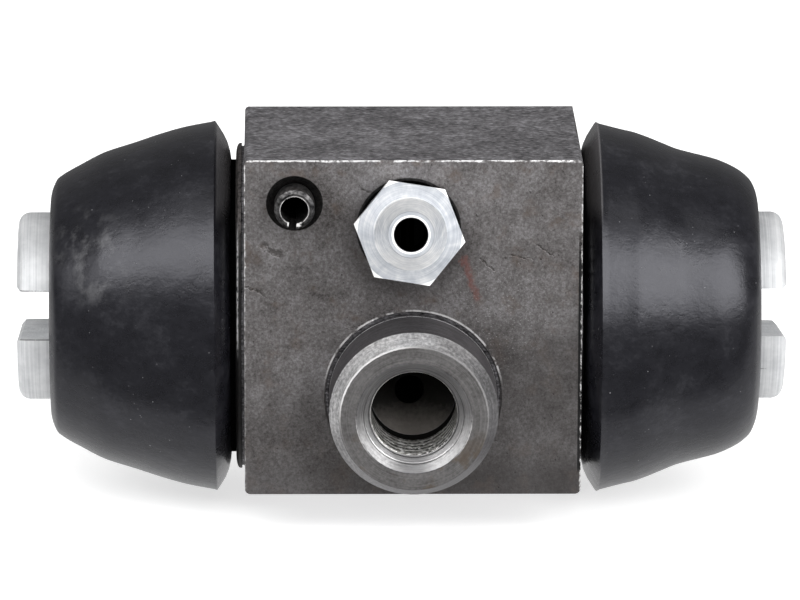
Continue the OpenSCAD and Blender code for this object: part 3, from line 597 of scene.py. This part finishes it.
# painted reflection: the boot's lip chamfer lighter near its top and bottom
lip_chamfer_sheen = (rubber.x - barrel_x).size().band(18.5, 20.1, 0.1) * from_bore.rise(15.6, 16.0)
black = rubber.flat(0.085, 0.082, 0.085).over(black, lip_chamfer_sheen * (rubber.z - bore_z).size().rise(12.5, 15.0))
rubber.coat(rubber.flat(0.2, 0.2, 0.208).over(black, specks * 0.8), 0.12 + 0.16 * flow + 0.18 * smears,
            [fine * 0.014, smears * 0.05, specks * 0.02])
# painted shade: the boot's neck beside the collar nearly black and without sheen
neck_shade = Surface("boot_neck_shade", Specular_IOR_Level=0.0)
neck_shade.coat(neck_shade.tones(neck_shade.noise(0.6), (0.3, 0.0008), (0.7, 0.002)), 0.8)
for side, hand, off, lean, sag in ((-1, "left", 0.5, -0.0001, 0.0), (1, "right", 0.2, 0.0, 0.00018)):
    low, high = (corner * 1000 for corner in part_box("boot_" + hand))
    end = side * ((low.x if side < 0 else high.x) - barrel_x)
    head = side * (middle("piston_" + hand).x - barrel_x) + 10.4
    section = boot_section(off, (high.z - low.z) / 2, end, head, boot_shares[hand])
    boot = grown("rubber_boot_" + hand, None, spun_boot(side, section, lean, sag))
    smooth(boot, 50)
    rubber.cover(boot)
    boot.data.materials.append(neck_shade.material)
    for face in boot.data.polygons:
        spot = face.center * 1000
        beyond_collar = side * (spot.x - barrel_x) - collar_end - off
        from_middle = math.hypot(spot.y - bore_y, spot.z - bore_z)
        face.material_index = int(beyond_collar < 0.02 and from_middle > 15.3)
    fold = [((side * s + barrel_x) / 1000, bore_y / 1000, bore_z / 1000) for s in (21.2, head - 3)]
    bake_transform(boot)
    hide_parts("boot_" + hand)

# A plain pale floor that turns up into the backdrop, and soft lamps in front, above and at the sides.
# What shines sees only a sheet of it under and behind the object, and the dark studio beyond.
floor_z = cad_box[0][2] - 0.0003
paper_width = 12
paper = Surface("pale_paper", Roughness=0.9, Emission_Strength=0.62)
paper.shader.inputs["Emission Color"].default_value = (1, 1, 1, 1)
paper.coat(paper.tones(paper.noise(40.0), (0.3, 0.66), (0.7, 0.68)), 0.9)
shaded = Surface("shaded_paper", Roughness=0.9, Emission_Strength=0.5)
shaded.shader.inputs["Emission Color"].default_value = (1, 1, 1, 1)
shaded.coat(shaded.tones(shaded.noise(40.0), (0.3, 0.3), (0.7, 0.32)), 0.9)


def laid(name, path):
    """A wide sheet of paper along a path of (depth, height) points, in metres."""
    def unroll(shape):
        verts = [shape.verts.new((-paper_width / 2, deep, high)) for deep, high in path]
        line = [shape.edges.new((a, b)) for a, b in zip(verts, verts[1:])]
        drawn = bmesh.ops.extrude_edge_only(shape, edges=line)["geom"]
        far_verts = [part for part in drawn if isinstance(part, bmesh.types.BMVert)]
        bmesh.ops.translate(shape, verts=far_verts, vec=(paper_width, 0, 0))

    made = grown(name, None, unroll)
    paper.cover(made)
    for face in made.data.polygons:
        face.use_smooth = True
    return made


turn_up = [math.radians(10 * k) for k in range(10)]
turn_up_r = 1.2
sweep = [(2.2 + turn_up_r * math.sin(a), floor_z + turn_up_r - turn_up_r * math.cos(a)) for a in turn_up]
floor = laid("floor", [(-5.0, floor_z), *sweep, (3.4, 6.0)])
floor.visible_glossy = False
table = laid("table", [(-0.006, floor_z), (0.12, floor_z)])
shaded.cover(table)
table.visible_camera = table.visible_diffuse = table.visible_shadow = table.visible_transmission = False


def lamp(name, place, aim, width, height, power):
    """A soft box at a place in metres, turned to its aim, with its power in watts."""
    light = bpy.data.lights.new(name, "AREA")
    light.shape, light.size, light.size_y = "RECTANGLE", width, height
    light.energy = power
    thing = bpy.data.objects.new(name, light)
    thing.location = place
    thing.rotation_euler = (Vector(aim) - Vector(place)).to_track_quat("-Z", "Y").to_euler()
    bpy.context.scene.collection.objects.link(thing)


lamp("key_box", (0.0, -1.0, 1.05), (0, 0, 0), 0.8, 0.8, 5.0)
lamp("key_left", (-0.69, -0.76, 1.02), (0, 0, 0), 0.78, 0.8, 8.4)
lamp("key_right", (0.97, -0.82, 0.7), (0, 0, 0), 1.0, 1.05, 17.0)
lamp("top_box", (0.0, -0.25, 1.4), (0, 0.05, 0), 1.6, 0.6, 2.7)
lamp("left_box", (-1.15, -0.6, 0.75), (0, 0, 0), 0.5, 0.7, 2.0)
world = bpy.data.worlds.new("studio")
world.use_nodes = True
backdrop = world.node_tree.nodes["Background"].inputs
backdrop["Color"].default_value = (1, 1, 1, 1)
backdrop["Strength"].default_value = 0.22
bpy.context.scene.world = world
bpy.context.scene.view_settings.view_transform = "Standard"
bpy.context.scene.view_settings.look = "None"

bpy.context.view_layer.update()
